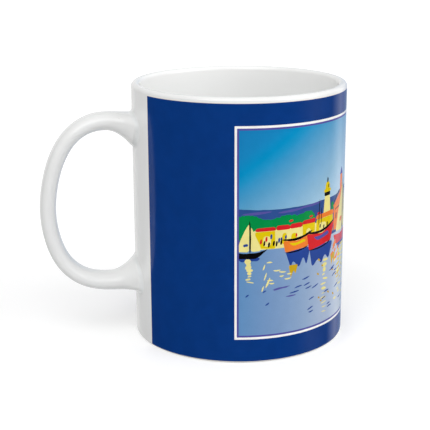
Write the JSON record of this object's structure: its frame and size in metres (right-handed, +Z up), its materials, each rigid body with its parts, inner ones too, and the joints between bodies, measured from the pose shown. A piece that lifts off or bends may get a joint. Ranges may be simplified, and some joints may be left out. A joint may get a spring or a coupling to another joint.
{
  "type": "printed ceramic mug",
  "caption": "Straight-sided glazed ceramic mug with a loop handle and a framed harbour picture printed on a blue wrap round its wall.",
  "frame": {"origin": "on the surface the mug stands on, under the middle of the whole mug with its handle, so the cup's own axis is 17.7 mm along +X", "axes": "+Z up along the cup's axis, -X towards the handle, +X towards the middle of the printed picture, +Y across the handle"},
  "size_m": [0.1168, 0.0814, 0.0976],
  "materials": {
    "white_glaze": "gloss",
    "glazed_slip": "gloss",
    "blue_ground_print": "gloss",
    "border_print": "gloss",
    "picture_print": "gloss"
  },
  "bodies": {
    "root": {"cup_body": "white_glaze", "handle": "white_glaze", "upper_slip_joint": "glazed_slip", "lower_slip_joint": "glazed_slip", "blue_wrap": "blue_ground_print", "picture_border": "border_print", "picture_panel": "picture_print"}
  },
  "joints": []
}
